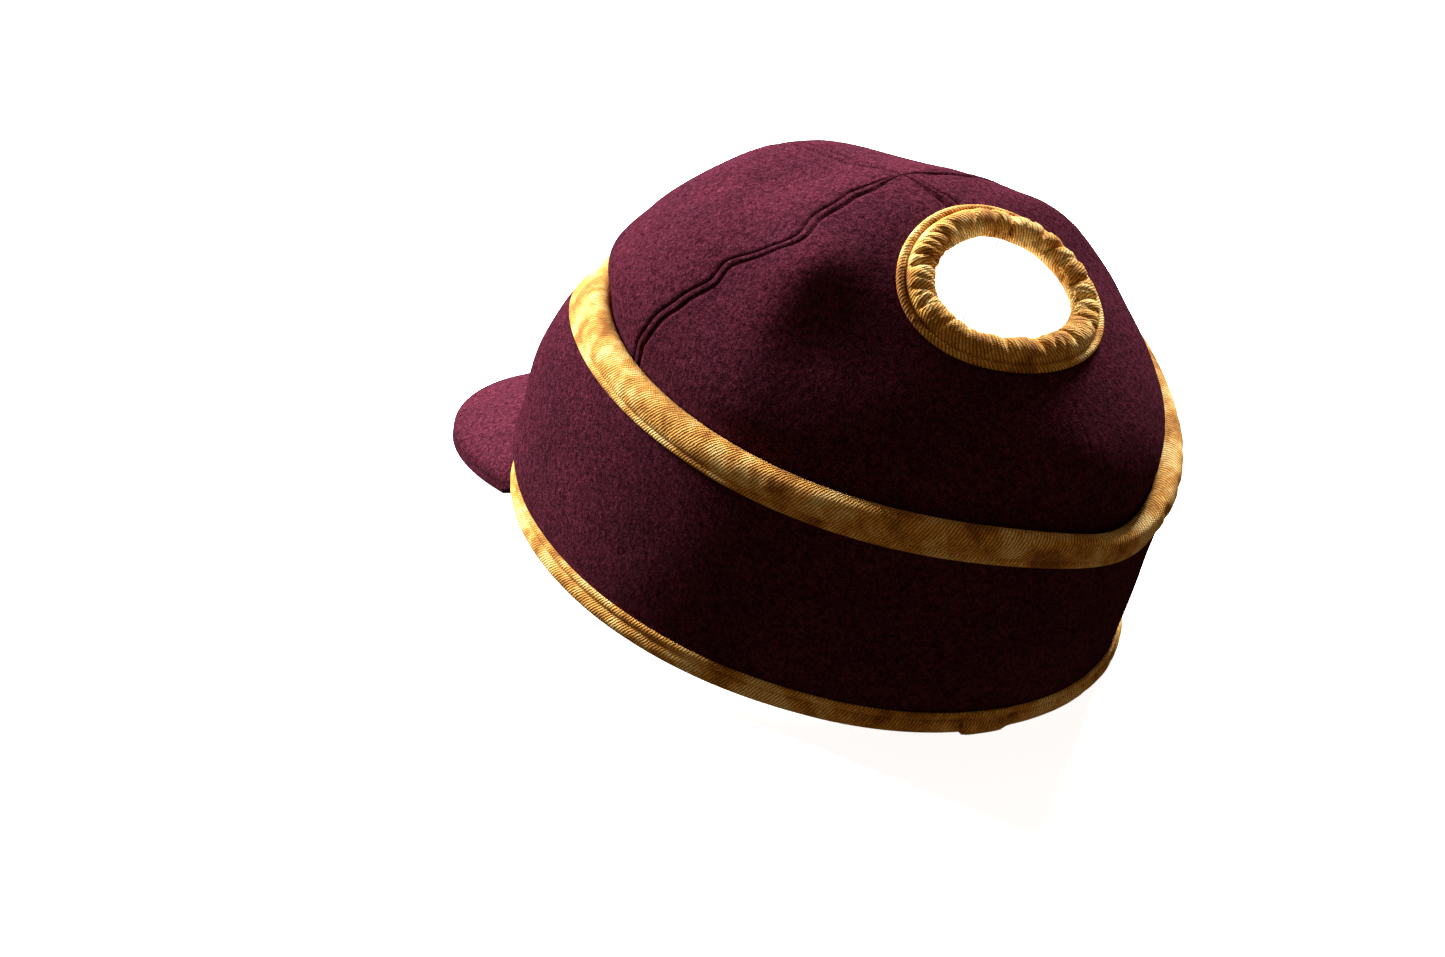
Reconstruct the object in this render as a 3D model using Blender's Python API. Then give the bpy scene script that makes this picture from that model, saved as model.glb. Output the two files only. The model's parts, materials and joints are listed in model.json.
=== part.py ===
"""A wool ponytail cap with a pull-down earband, as separate sewn pieces.

The cap's own frame has its origin in the middle of the head opening, the visor towards -Y, the wearer's
left at +X and the crown towards +Z. An empty tips that frame so that the cap stands on the front of its
visor and on the rear of its earband, with the world's origin in the middle of its footprint.
"""

import math

import bmesh
import bpy
from mathutils import Matrix, Vector
from mathutils.bvhtree import BVHTree

MM = 0.001

# Outside of the earband: an ellipse at its lower edge and one at its upper edge, further to the rear.
RIM_HALF_WIDTH = 90 * MM
RIM_HALF_LENGTH = 107.5 * MM
BAND_HEIGHT = 73.5 * MM
BAND_TOP_HALF_WIDTH = 82.6 * MM
BAND_TOP_HALF_LENGTH = 100.65 * MM
BAND_TOP_SHIFT = 16.65 * MM

# Cloth thicknesses and the gap between touching pieces.
WOOL = 2.0 * MM
FACING = 1.0 * MM
LINING = 0.8 * MM
SWEATBAND = 1.2 * MM
TWILL = 0.9 * MM
GAP = 0.3 * MM
SEAM_GAP = 0.9 * MM

# Distances inwards from the outside of the earband.
FACING_INSET = WOOL + 2 * GAP
CROWN_INSET_LOW = 6.0 * MM
CROWN_INSET_HIGH = 9.4 * MM

# Crown: its wall rises behind the earband over this share of each panel, and the rest is its dome.
CROWN_LOW_Z = 0.8 * MM
CROWN_TOP = Vector((0, 8.65 * MM, 135.1 * MM))
CROWN_TOP_CLEARANCE = 1.5 * MM
CROWN_TOP_RADIUS = 40 * MM
CROWN_ROUNDNESS = 1.16
WALL_SHARE = 0.36
PANEL_COLUMNS = 10
PANEL_ROWS = 13

# The dome's cloth stands out over both rear shoulders and sinks on both sides in front of its top.
# Each is a height and the middle and radius, seen from above, of a soft swelling.
DOME_CENTRE = Vector((0, 15 * MM, 50 * MM))
SHOULDER = (5.8 * MM, 50.6 * MM, 25.8 * MM, 15 * MM)
HOLLOW = (-4.6 * MM, 19.7 * MM, -17 * MM, 21 * MM)

# Seams: each one's angle at its foot, and how far it has turned to the rear where its bend ends.
SEAM_BOW = math.radians(17)
SIDE_SEAM_ANGLE = math.radians(-20)
SEAM_BEND_END = 0.8
SEAMS = {
    "front": (-math.pi / 2, 0),
    "left": (SIDE_SEAM_ANGLE, SEAM_BOW),
    "rear": (math.pi / 2, 0),
    "right": (math.pi - SIDE_SEAM_ANGLE, -SEAM_BOW),
    "front again": (3 * math.pi / 2, 0),
}

SWEATBAND_HEIGHT = 28 * MM
SWEATBAND_COLUMNS = 60

# Ponytail opening: an oval seen along its own axis, which leans to the rear.
HOLE_Y = 60.2 * MM
HOLE_LEAN = math.radians(30)
HOLE_HALF_WIDTH = 32.1 * MM
HOLE_HALF_LENGTH = 26.4 * MM
HOLE_COLUMNS = 40
HOLE_CUT_DEPTH = 40 * MM

RING_ROLL = 6.7 * MM
RING_FLANGE = 4.6 * MM
RING_FLANGE_INSIDE = 3.6 * MM
RING_CLEARANCE = 0.7 * MM
ELASTIC_NEAR = 1.2 * MM
ELASTIC_FAR = 4.5 * MM
ELASTIC_THICKNESS = 1.8 * MM

# Visor: its outline is half an ellipse about a point behind the brow.
VISOR_CENTRE_Y = -66.4 * MM
VISOR_HALF_WIDTH = 64 * MM
VISOR_REACH = 95 * MM
VISOR_ROOT_ANGLE = math.radians(36)
VISOR_ROOT_INSET = 8.0 * MM
VISOR_ROOT_Z = -1.0 * MM
VISOR_SLOPE = 0.41
VISOR_CORNER_SLOPE = 0.06
VISOR_BEND = 1.3
VISOR_CLOTH = 1.8 * MM
VISOR_BOARD = 1.8 * MM
VISOR_HEM = 4 * MM
VISOR_MARGIN = 0.06
VISOR_COLUMNS = 22
VISOR_ROWS = 5

# Earband: the brow section stays put, and the rest turns down about a line through the temples.
FRONT_CUT_Y = -58 * MM
REAR_CUT_LOW_Y = -45.9 * MM
REAR_CUT_HIGH_Y = -56.5 * MM
HINGE = Vector((0, -80 * MM, 48 * MM))
BAND_ROWS = 4
FRONT_COLUMNS = 14
REAR_COLUMNS = 46

# Bindings: folded strips around the edges of the earband.
TOP_BINDING_DEPTH = 11 * MM
LOW_BINDING_DEPTH = 7.5 * MM
BINDING_INSIDE_SHORTER = 2 * MM
BINDING_CLEARANCE = 0.5 * MM
ROLL_STEPS = 3

# The cap stands tipped back by this angle, and its weight presses its cloth flat by this much.
REST_TILT = math.radians(6.6)
PRESSED = 0.5 * MM
GROUND_SIZE = 400 * MM
GROUND_DEPTH = 100 * MM

BURGUNDY = (0.085, 0.022, 0.035)
GOLD = (0.45, 0.24, 0.07)
IVORY = (0.78, 0.76, 0.70)
BLACK = (0.03, 0.025, 0.025)
BOARD_WHITE = (0.75, 0.74, 0.70)


def clear_scene():
    for obj in list(bpy.data.objects):
        bpy.data.objects.remove(obj, do_unlink=True)


def material(name, colour, roughness):
    made = bpy.data.materials.new(name)
    made.use_nodes = True
    shader = made.node_tree.nodes["Principled BSDF"]
    shader.inputs["Base Color"].default_value = (*colour, 1)
    shader.inputs["Roughness"].default_value = roughness
    shader.inputs["Metallic"].default_value = 0
    made.diffuse_color = (*colour, 1)
    return made


def add_mesh(name, points, faces, parent, colour):
    """One object from points in the cap's frame, under an empty that stands at its own location there."""
    mesh = bpy.data.meshes.new(name)
    mesh.from_pydata([tuple(point) for point in points], [], faces)
    mesh.materials.append(colour)
    mesh.shade_smooth()
    mesh.set_sharp_from_angle(angle=math.radians(50))
    obj = bpy.data.objects.new(name, mesh)
    bpy.context.scene.collection.objects.link(obj)
    obj.parent = parent
    if parent.parent:
        obj.location = -parent.location
    return obj


def add_sheet(name, surface, columns, rows, thickness, parent, colour):
    """A sheet of cloth: surface(across, along) is its outer side, and its thickness lies within."""
    count = columns + 1
    points = [surface(i / columns, j / rows) for j in range(rows + 1) for i in range(count)]
    faces = []
    for j in range(rows):
        for i in range(columns):
            k = j * count + i
            faces.append((k, k + 1, k + 1 + count, k + count))
    sheet = add_mesh(name, points, faces, parent, colour)
    solidify = sheet.modifiers.new("thickness", "SOLIDIFY")
    solidify.thickness = thickness
    solidify.offset = -1
    solidify.use_even_offset = True
    return sheet


def add_sweep(name, outlines, parent, colour, closed=False):
    """A body through a row of matching closed outlines, capped at its ends unless it closes on itself."""
    size = len(outlines[0])
    points = [point for outline in outlines for point in outline]
    faces = []
    for j in range(len(outlines) if closed else len(outlines) - 1):
        near = j * size
        far = (j + 1) % len(outlines) * size
        for i in range(size):
            k = (i + 1) % size
            faces.append((near + i, near + k, far + k, far + i))
    if not closed:
        faces.append(tuple(reversed(range(size))))
        faces.append(tuple(range((len(outlines) - 1) * size, len(outlines) * size)))
    body = add_mesh(name, points, faces, parent, colour)
    edit = bmesh.new()
    edit.from_mesh(body.data)
    bmesh.ops.recalc_face_normals(edit, faces=edit.faces)
    edit.to_mesh(body.data)
    edit.free()
    return body


def band_point(angle, height, inset=0.0):
    """A point of the earband, inset from its outside. Angle 0 is the wearer's left, and 90 the rear."""
    share = height / BAND_HEIGHT
    half_width = RIM_HALF_WIDTH + (BAND_TOP_HALF_WIDTH - RIM_HALF_WIDTH) * share - inset
    half_length = RIM_HALF_LENGTH + (BAND_TOP_HALF_LENGTH - RIM_HALF_LENGTH) * share - inset
    y = BAND_TOP_SHIFT * share + half_length * math.sin(angle)
    return Vector((half_width * math.cos(angle), y, height))


def angle_at(y, height):
    """The angle on the wearer's left side where the earband reaches y."""
    share = height / BAND_HEIGHT
    half_length = RIM_HALF_LENGTH + (BAND_TOP_HALF_LENGTH - RIM_HALF_LENGTH) * share
    return math.asin((y - BAND_TOP_SHIFT * share) / half_length)


def spread_angles(across, first, end):
    """Angles symmetric about the rear: evenly spaced from first, but for the two ends themselves."""
    start = first if 0 < across < 1 else end
    return start + (math.pi - 2 * start) * across


def front_angles(across, height):
    """The brow section's angles: its ends are cut square across the cap."""
    first = angle_at(FRONT_CUT_Y, BAND_HEIGHT / 2)
    return -spread_angles(across, -first, -angle_at(FRONT_CUT_Y, height))


def rear_angles(across, height):
    """The turning section's angles: its ends slope, so that they clear the brow section when it turns."""
    share = height / BAND_HEIGHT
    cut = REAR_CUT_LOW_Y + (REAR_CUT_HIGH_Y - REAR_CUT_LOW_Y) * share
    first = angle_at((REAR_CUT_LOW_Y + REAR_CUT_HIGH_Y) / 2, BAND_HEIGHT / 2)
    return spread_angles(across, first, angle_at(cut, height))


def swelling(point, shape):
    """How far the dome stands out at a point because of one soft swelling and its mirror image."""
    height, middle_x, middle_y, radius = shape
    total = 0
    for side in (-1, 1):
        distance = math.hypot(point.x - side * middle_x, point.y - middle_y)
        total += height * math.exp(-((distance / radius) ** 2))
    return total


def crown_point(angle, rise):
    """The outside of the crown: up its wall behind the earband, then over its dome to the top."""
    if rise <= WALL_SHARE:
        share = rise / WALL_SHARE
        height = CROWN_LOW_Z + (BAND_HEIGHT - CROWN_LOW_Z) * share
        return band_point(angle, height, CROWN_INSET_LOW + (CROWN_INSET_HIGH - CROWN_INSET_LOW) * share)
    turn = (rise - WALL_SHARE) / (1 - WALL_SHARE) * math.pi / 2
    base = band_point(angle, BAND_HEIGHT, CROWN_INSET_HIGH)
    lift = math.sin(turn) ** CROWN_ROUNDNESS
    spread = math.cos(turn)
    centre = BAND_TOP_SHIFT + (CROWN_TOP.y - BAND_TOP_SHIFT) * lift
    y = centre + (base.y - BAND_TOP_SHIFT) * spread
    point = Vector((base.x * spread, y, BAND_HEIGHT + (CROWN_TOP.z - BAND_HEIGHT) * lift))
    outward = (point - DOME_CENTRE).normalized()
    return point + outward * (swelling(point, SHOULDER) + swelling(point, HOLLOW))


def crown_normal(angle, rise):
    step = 1e-3
    around = crown_point(angle + step, rise) - crown_point(angle - step, rise)
    up = crown_point(angle, min(rise + step, 0.999)) - crown_point(angle, max(rise - step, 0))
    return around.cross(up).normalized()


def seam_angle(seam, rise):
    """A seam's angle at a rise: straight up the wall, then bent to the rear over the dome."""
    foot, bow = SEAMS[seam]
    share = min(max((rise - WALL_SHARE) / (SEAM_BEND_END - WALL_SHARE), 0), 1)
    return foot + bow * share * share * (3 - 2 * share)


def crown_layer(first, last, depth):
    """A quarter of the crown between two seams, a depth below its outside, as a surface for add_sheet."""
    high = 1 - 2 / math.pi * (1 - WALL_SHARE) * CROWN_TOP_CLEARANCE / CROWN_TOP_RADIUS

    def surface(across, along):
        rise = high * along
        start = seam_angle(first, rise)
        end = seam_angle(last, rise)
        radius = max(crown_point(0, rise).x, 0.5 * MM)
        margin = math.asin(min(SEAM_GAP / 2 / radius, 0.9))
        angle = start + margin + (end - start - 2 * margin) * across
        return crown_point(angle, rise) - crown_normal(angle, rise) * depth

    return surface


def add_crown(parent, wool, lining):
    """Four panels with a lining quarter behind each; the seams run front, rear and up both sides."""
    quarters = {
        "front_left": ("front", "left"),
        "rear_left": ("left", "rear"),
        "rear_right": ("rear", "right"),
        "front_right": ("right", "front again"),
    }
    layers = (("crown_panel_", 0, WOOL, wool), ("lining_", WOOL + GAP, LINING, lining))
    cutter = add_hole_cutter(parent)
    for name, (first, last) in quarters.items():
        for layer, depth, thickness, colour in layers:
            surface = crown_layer(first, last, depth)
            piece = add_sheet(layer + name, surface, PANEL_COLUMNS, PANEL_ROWS, thickness, parent, colour)
            if name.startswith("rear"):
                cut = piece.modifiers.new("ponytail opening", "BOOLEAN")
                cut.operation = "DIFFERENCE"
                cut.object = cutter
                cut.solver = "EXACT"


def dome_tree():
    """The outside of the crown as a search tree."""
    columns, rows = 72, 60
    points = []
    for j in range(rows + 1):
        points += [crown_point(2 * math.pi * i / columns, j / rows * 0.999) for i in range(columns)]
    faces = []
    for j in range(rows):
        for i in range(columns):
            k = (i + 1) % columns
            faces.append((j * columns + i, j * columns + k, (j + 1) * columns + k, (j + 1) * columns + i))
    return BVHTree.FromPolygons(points, faces)


def hole_outline():
    """The dome's tree, the opening's outward direction, and the opening's outline in a plane.

    Each point of the outline comes with the direction that leads straight out of the opening there.
    """
    tree = dome_tree()
    outward = Vector((0, math.sin(HOLE_LEAN), math.cos(HOLE_LEAN)))
    middle = tree.ray_cast(Vector((0, HOLE_Y, 2 * CROWN_TOP.z)), Vector((0, 0, -1)))[0]
    sideways = Vector((1, 0, 0))
    downhill = outward.cross(sideways)
    outline = []
    for i in range(HOLE_COLUMNS):
        turn = 2 * math.pi * i / HOLE_COLUMNS
        away = sideways * math.cos(turn) * HOLE_HALF_WIDTH + downhill * math.sin(turn) * HOLE_HALF_LENGTH
        steep = sideways * math.cos(turn) / HOLE_HALF_WIDTH + downhill * math.sin(turn) / HOLE_HALF_LENGTH
        outline.append((middle + away, steep))
    return tree, outward, outline


def hole_rim():
    """The shell around the opening: its points, each with the directions away from the hole and outward."""
    tree, outward, outline = hole_outline()
    rim = []
    for start, steep in outline:
        point, normal = tree.ray_cast(start + outward * HOLE_CUT_DEPTH, -outward)[:2]
        across = (steep.normalized() - normal * steep.normalized().dot(normal)).normalized()
        rim.append((point, across, normal))
    return rim


def add_hole_cutter(parent):
    _, outward, outline = hole_outline()
    levels = (-HOLE_CUT_DEPTH, HOLE_CUT_DEPTH)
    outlines = [[point + outward * level for point, _ in outline] for level in levels]
    cutter = add_sweep("hole_cutter", outlines, parent, None)
    cutter.hide_render = True
    cutter.display_type = "WIRE"
    return cutter


def rolled_channel(roll, reach_out, reach_in, wall, skin, clearance):
    """The outline of a strip folded around an edge, as (distance from the edge, height) pairs.

    The edge's own layers lie between the heights 0 and -wall, on the positive side of distance 0.
    """
    top = clearance + skin
    bottom = -wall - clearance - skin
    middle = (top + bottom) / 2
    half = (top - bottom) / 2
    outer = [(reach_out, top), (0, top)]
    inner = [(reach_in, bottom + skin), (0, bottom + skin)]
    for i in range(1, ROLL_STEPS):
        turn = math.pi * i / ROLL_STEPS
        outer.append((-roll * math.sin(turn), middle + half * math.cos(turn)))
        inner.append((-(roll - skin) * math.sin(turn), middle - (half - skin) * math.cos(turn)))
    outer += [(0, bottom), (reach_in, bottom)]
    inner += [(0, top - skin), (reach_out, top - skin)]
    return outer + inner


def add_ponytail_ring(parent, twill, elastic):
    rim = hole_rim()
    shell = WOOL + GAP + LINING
    channel = rolled_channel(RING_ROLL, RING_FLANGE, RING_FLANGE_INSIDE, shell, TWILL, RING_CLEARANCE)
    tube = []
    band = []
    middle = -shell / 2
    half = ELASTIC_THICKNESS / 2
    section = [(-ELASTIC_NEAR, half), (-ELASTIC_FAR, half), (-ELASTIC_FAR, -half), (-ELASTIC_NEAR, -half)]
    for point, across, normal in rim:
        tube.append([point + across * away + normal * up for away, up in channel])
        band.append([point + across * away + normal * (middle + up) for away, up in section])
    add_sweep("ponytail_binding", tube, parent, twill, closed=True)
    add_sweep("ponytail_elastic", band, parent, elastic, closed=True)


def visor_point(across, along, hem=0.0):
    """A point of the visor's top. Across runs from its left corner, and along from its root to its edge."""
    turn = math.pi * across
    end = -VISOR_ROOT_ANGLE
    angle = end - (math.pi + 2 * end) * across
    root = band_point(angle, 0, VISOR_ROOT_INSET)
    edge = Vector((VISOR_HALF_WIDTH * math.cos(turn), VISOR_CENTRE_Y - VISOR_REACH * math.sin(turn), 0))
    width = (edge - root).length
    reach = along * (1 - hem / width)
    slope = VISOR_SLOPE + VISOR_CORNER_SLOPE * math.cos(turn) ** 2
    flat = root + (edge - root) * reach
    return Vector((flat.x, flat.y, VISOR_ROOT_Z - slope * width * reach**VISOR_BEND))


def add_visor(parent, wool, board):
    """A stiff board between a top and an under cloth. The board stops short of the seam at the edge."""
    layers = (
        ("visor_top_cloth", VISOR_CLOTH, 0, wool),
        ("visor_board", VISOR_BOARD, VISOR_HEM, board),
        ("visor_under_cloth", VISOR_CLOTH, 0, wool),
    )
    top = 0
    for name, thickness, hem, colour in layers:
        outlines = []
        for i in range(VISOR_COLUMNS + 1):
            across = VISOR_MARGIN + (1 - 2 * VISOR_MARGIN) * i / VISOR_COLUMNS
            upper = [visor_point(across, j / VISOR_ROWS, hem) for j in range(VISOR_ROWS + 1)]
            outline = [point - Vector((0, 0, top)) for point in upper]
            outline += [point - Vector((0, 0, top + thickness)) for point in reversed(upper)]
            outlines.append(outline)
        add_sweep(name, outlines, parent, colour)
        top += thickness + GAP


def band_section(angles, across, inset, thickness):
    """The outline of one layer of the earband where it is cut across."""
    heights = [BAND_HEIGHT * row / BAND_ROWS for row in range(BAND_ROWS + 1)]
    outside = [band_point(angles(across, height), height, inset) for height in heights]
    inside = [band_point(angles(across, height), height, inset + thickness) for height in reversed(heights)]
    return outside + inside


def add_earband(fixed, moving, wool, facing, twill):
    """The band is one strip of wool with a facing and a bound edge above and below, in two sections."""
    sections = (
        ("front", fixed, front_angles, FRONT_COLUMNS),
        ("rear", moving, rear_angles, REAR_COLUMNS),
    )
    layers = (("outer", 0, WOOL, wool), ("facing", FACING_INSET, FACING, facing))
    edges = (
        ("top_binding", BAND_HEIGHT, -1, TOP_BINDING_DEPTH),
        ("bottom_binding", 0, 1, LOW_BINDING_DEPTH),
    )
    band = FACING_INSET + FACING
    for section, parent, angles, columns in sections:
        for layer, inset, thickness, colour in layers:
            outlines = [band_section(angles, i / columns, inset, thickness) for i in range(columns + 1)]
            add_sweep(f"earband_{layer}_{section}", outlines, parent, colour)
        for edge, height, inwards, depth in edges:
            inside = depth - BINDING_INSIDE_SHORTER
            channel = rolled_channel(TWILL + GAP, depth, inside, band, TWILL, BINDING_CLEARANCE)
            outlines = []
            for i in range(columns + 1):
                outline = []
                for away, up in channel:
                    level = height + inwards * away
                    outline.append(band_point(angles(i / columns, level), level, -up))
                outlines.append(outline)
            add_sweep(f"earband_{edge}_{section}", outlines, parent, twill)


def add_sweatband(parent, colour):
    inset = CROWN_INSET_LOW + WOOL + LINING + 3 * GAP
    top_inset = inset + (CROWN_INSET_HIGH - CROWN_INSET_LOW) * SWEATBAND_HEIGHT / BAND_HEIGHT + GAP

    outlines = []
    for i in range(SWEATBAND_COLUMNS):
        angle = 2 * math.pi * i / SWEATBAND_COLUMNS
        outlines.append([
            band_point(angle, 0, inset),
            band_point(angle, SWEATBAND_HEIGHT, top_inset),
            band_point(angle, SWEATBAND_HEIGHT, top_inset + SWEATBAND),
            band_point(angle, 0, inset + SWEATBAND),
        ])
    add_sweep("sweatband", outlines, parent, colour, closed=True)


def add_empty(name, location, parent=None):
    empty = bpy.data.objects.new(name, None)
    bpy.context.scene.collection.objects.link(empty)
    empty.location = location
    empty.parent = parent
    return empty


def stand_on_ground(frame):
    """Tips the cap back onto its visor's front and its rear rim, and centres its footprint on the origin."""
    frame.rotation_euler = (-REST_TILT, 0, 0)
    bpy.context.view_layer.update()
    graph = bpy.context.evaluated_depsgraph_get()
    corners = []
    for obj in bpy.context.scene.objects:
        if obj.type == "MESH" and not obj.hide_render:
            shape = obj.evaluated_get(graph)
            corners += [shape.matrix_world @ vertex.co for vertex in shape.data.vertices]
    middle_y = (min(c.y for c in corners) + max(c.y for c in corners)) / 2
    frame.location = (0, -middle_y, -min(c.z for c in corners) - PRESSED)


def press_flat(names):
    """Cuts away what would sink below the ground."""
    size = Matrix.Diagonal((GROUND_SIZE, GROUND_SIZE, GROUND_DEPTH, 1))
    deep = Matrix.Translation((0, 0, -GROUND_DEPTH / 2)) @ size
    mesh = bpy.data.meshes.new("ground_cutter")
    edit = bmesh.new()
    bmesh.ops.create_cube(edit, size=1, matrix=deep)
    edit.to_mesh(mesh)
    edit.free()
    ground = bpy.data.objects.new("ground_cutter", mesh)
    bpy.context.scene.collection.objects.link(ground)
    ground.hide_render = True
    ground.display_type = "WIRE"
    for name in names:
        cut = bpy.data.objects[name].modifiers.new("pressed flat", "BOOLEAN")
        cut.operation = "DIFFERENCE"
        cut.object = ground
        cut.solver = "EXACT"


def main():
    clear_scene()
    wool = material("burgundy_wool", BURGUNDY, 0.95)
    twill = material("gold_twill", GOLD, 0.75)
    lining = material("ivory_lining", IVORY, 0.45)
    facing = material("dark_facing", BLACK, 0.85)
    elastic = material("white_elastic", IVORY, 0.8)
    board = material("visor_board", BOARD_WHITE, 0.6)
    frame = add_empty("cap_frame", Vector((0, 0, 0)))
    hinge = add_empty("earband_hinge", HINGE, frame)
    add_crown(frame, wool, lining)
    add_ponytail_ring(frame, twill, elastic)
    add_sweatband(frame, facing)
    add_visor(frame, wool, board)
    add_earband(frame, hinge, wool, facing, twill)
    stand_on_ground(frame)
    press_flat(("visor_under_cloth", "earband_bottom_binding_rear"))


main()
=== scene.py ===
"""The looks of a wool ponytail cap with a pull-down earband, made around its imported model.

Shapes are worked out in the cap's own frame: its origin is the middle of the head opening, the visor
points to -Y, the wearer's left is +X and the crown is at +Z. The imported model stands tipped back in
the world, so every piece goes through to_world before it becomes a mesh.
"""

import json
import math

import bmesh
import bpy
import numpy as np
from mathutils import Matrix, Vector, noise
from mathutils.bvhtree import BVHTree


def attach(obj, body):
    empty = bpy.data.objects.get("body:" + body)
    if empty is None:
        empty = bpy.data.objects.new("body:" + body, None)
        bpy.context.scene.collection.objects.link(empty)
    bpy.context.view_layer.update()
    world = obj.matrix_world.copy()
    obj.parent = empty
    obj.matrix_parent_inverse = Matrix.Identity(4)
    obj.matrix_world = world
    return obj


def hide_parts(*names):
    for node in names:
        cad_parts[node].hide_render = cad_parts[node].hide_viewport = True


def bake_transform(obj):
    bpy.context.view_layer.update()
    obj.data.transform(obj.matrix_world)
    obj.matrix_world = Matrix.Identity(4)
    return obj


MM = 0.001
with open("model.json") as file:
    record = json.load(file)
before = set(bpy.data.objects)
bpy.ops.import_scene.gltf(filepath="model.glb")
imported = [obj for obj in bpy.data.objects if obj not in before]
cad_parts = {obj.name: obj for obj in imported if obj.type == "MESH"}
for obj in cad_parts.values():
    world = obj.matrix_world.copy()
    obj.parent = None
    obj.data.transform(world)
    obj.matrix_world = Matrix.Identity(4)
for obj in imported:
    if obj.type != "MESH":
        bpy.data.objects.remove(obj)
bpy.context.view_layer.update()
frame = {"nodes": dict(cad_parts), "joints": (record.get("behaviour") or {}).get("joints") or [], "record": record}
MOUNTS = {mount["name"]: mount for mount in frame["record"]["mounts"]}


# ---------------------------------------------------------------- the cap's frame

ORIGIN = np.array(MOUNTS["head_opening"]["pos_m"], float)
CAP_UP = -np.array(MOUNTS["head_opening"]["axis"], float)
CAP_AXES = np.array([[1, 0, 0], [0, CAP_UP[2], -CAP_UP[1]], CAP_UP])
FLOOR_CLEARANCE = 0.15 * MM


def to_world(points):
    """Cap-frame points in the world. What would sink into the floor is pressed flat on it."""
    placed = np.asarray(points, float) @ CAP_AXES + ORIGIN
    placed[..., 2] = np.maximum(placed[..., 2], FLOOR_CLEARANCE)
    return placed


def to_cap(points):
    return (np.asarray(points, float) - ORIGIN) @ CAP_AXES.T


def node_points(*names):
    """The corners of CAD nodes in the cap's frame."""
    return to_cap([v.co for name in names for v in frame["nodes"][name].data.vertices])


def ring_at(points, height):
    """Half width, half length and middle y of the points at a height."""
    level = points[np.abs(points[:, 2] - height) < 0.5 * MM]
    low, high = level.min(0), level.max(0)
    return high[0], (high[1] - low[1]) / 2, (high[1] + low[1]) / 2


BAND = node_points("earband_outer_front", "earband_outer_rear")
BAND_HEIGHT = BAND[:, 2].max()
RIM_HALF_WIDTH, RIM_HALF_LENGTH, _ = ring_at(BAND, 0)
BAND_TOP_HALF_WIDTH, BAND_TOP_HALF_LENGTH, BAND_TOP_SHIFT = ring_at(BAND, BAND_HEIGHT)
HINGE = to_cap(frame["joints"][0]["pos_m"])
BLEND_FRONT_Y = -80 * MM
BLEND_REAR_Y = -36 * MM

# Distances inwards from the outside of the earband, as in the CAD model.
CROWN_INSET_LOW = 6.0 * MM
CROWN_INSET_HIGH = 9.4 * MM
CROWN_LOW_Z = 0.8 * MM
CROWN_TOP = np.array([0, 8.65, 135.1]) * MM
CROWN_ROUNDNESS = 1.16
WALL_SHARE = 0.36

# The dome's soft swellings: height, and the middle and radius as seen from above.
DOME_CENTRE = np.array([0, 15, 50]) * MM
SHOULDER = np.array([5.8, 50.6, 25.8, 15]) * MM
HOLLOW = np.array([-4.6, 19.7, -17, 21]) * MM

# Each seam's angle at its foot, and how far it has turned to the rear where its bend ends.
SEAM_BOW = math.radians(17)
SIDE_SEAM_ANGLE = math.radians(-20)
SEAM_BEND_END = 0.8
SEAMS = {
    "front": (-math.pi / 2, 0),
    "left": (SIDE_SEAM_ANGLE, SEAM_BOW),
    "rear": (math.pi / 2, 0),
    "right": (math.pi - SIDE_SEAM_ANGLE, -SEAM_BOW),
    "front again": (3 * math.pi / 2, 0),
}

HOLE_AT = to_cap(MOUNTS["ponytail_opening"]["pos_m"])
HOLE_OUT = CAP_AXES @ np.array(MOUNTS["ponytail_opening"]["axis"], float)
HOLE_HALF_WIDTH = 32.1 * MM
HOLE_HALF_LENGTH = 26.4 * MM

VISOR_CENTRE_Y = -66.4 * MM
VISOR_HALF_WIDTH = 64 * MM
VISOR_REACH = 95 * MM
VISOR_ROOT_ANGLE = math.radians(36)
VISOR_ROOT_INSET = 8.0 * MM
VISOR_ROOT_Z = -1.0 * MM
VISOR_SLOPE = 0.41
VISOR_CORNER_SLOPE = 0.06
VISOR_BEND = 1.3
VISOR_STACK = 6.0 * MM


# ---------------------------------------------------------------- numbers over arrays

NOISE_OFFSET = np.array([17.3, 9.1, 4.7])


def smooth(start, end, value):
    """0 before start, 1 after end, and a smooth step between them."""
    share = np.clip((value - start) / (end - start), 0, 1)
    return share * share * (3 - 2 * share)


def bump(middle, width, value):
    """1 at the middle, and fading to 0 over about the width on both sides."""
    return np.exp(-(((value - middle) / width) ** 2))


def wrapped(angle):
    """The same angle, between minus and plus half a turn."""
    return np.angle(np.exp(1j * angle))


def wave(distance, length, phase=0.0):
    return math.sin(2 * math.pi * distance / length + phase)


def unit(vectors):
    return vectors / np.maximum(np.linalg.norm(vectors, axis=-1, keepdims=True), 1e-12)


def uneven(points, wavelength, seed):
    """Soft noise from about -1 to 1 at each point."""
    flat = (points / wavelength + NOISE_OFFSET * seed).reshape(-1, 3)
    return np.array([noise.noise(p) for p in flat.tolist()]).reshape(points.shape[:-1])


# ---------------------------------------------------------------- surfaces of the cap

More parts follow.
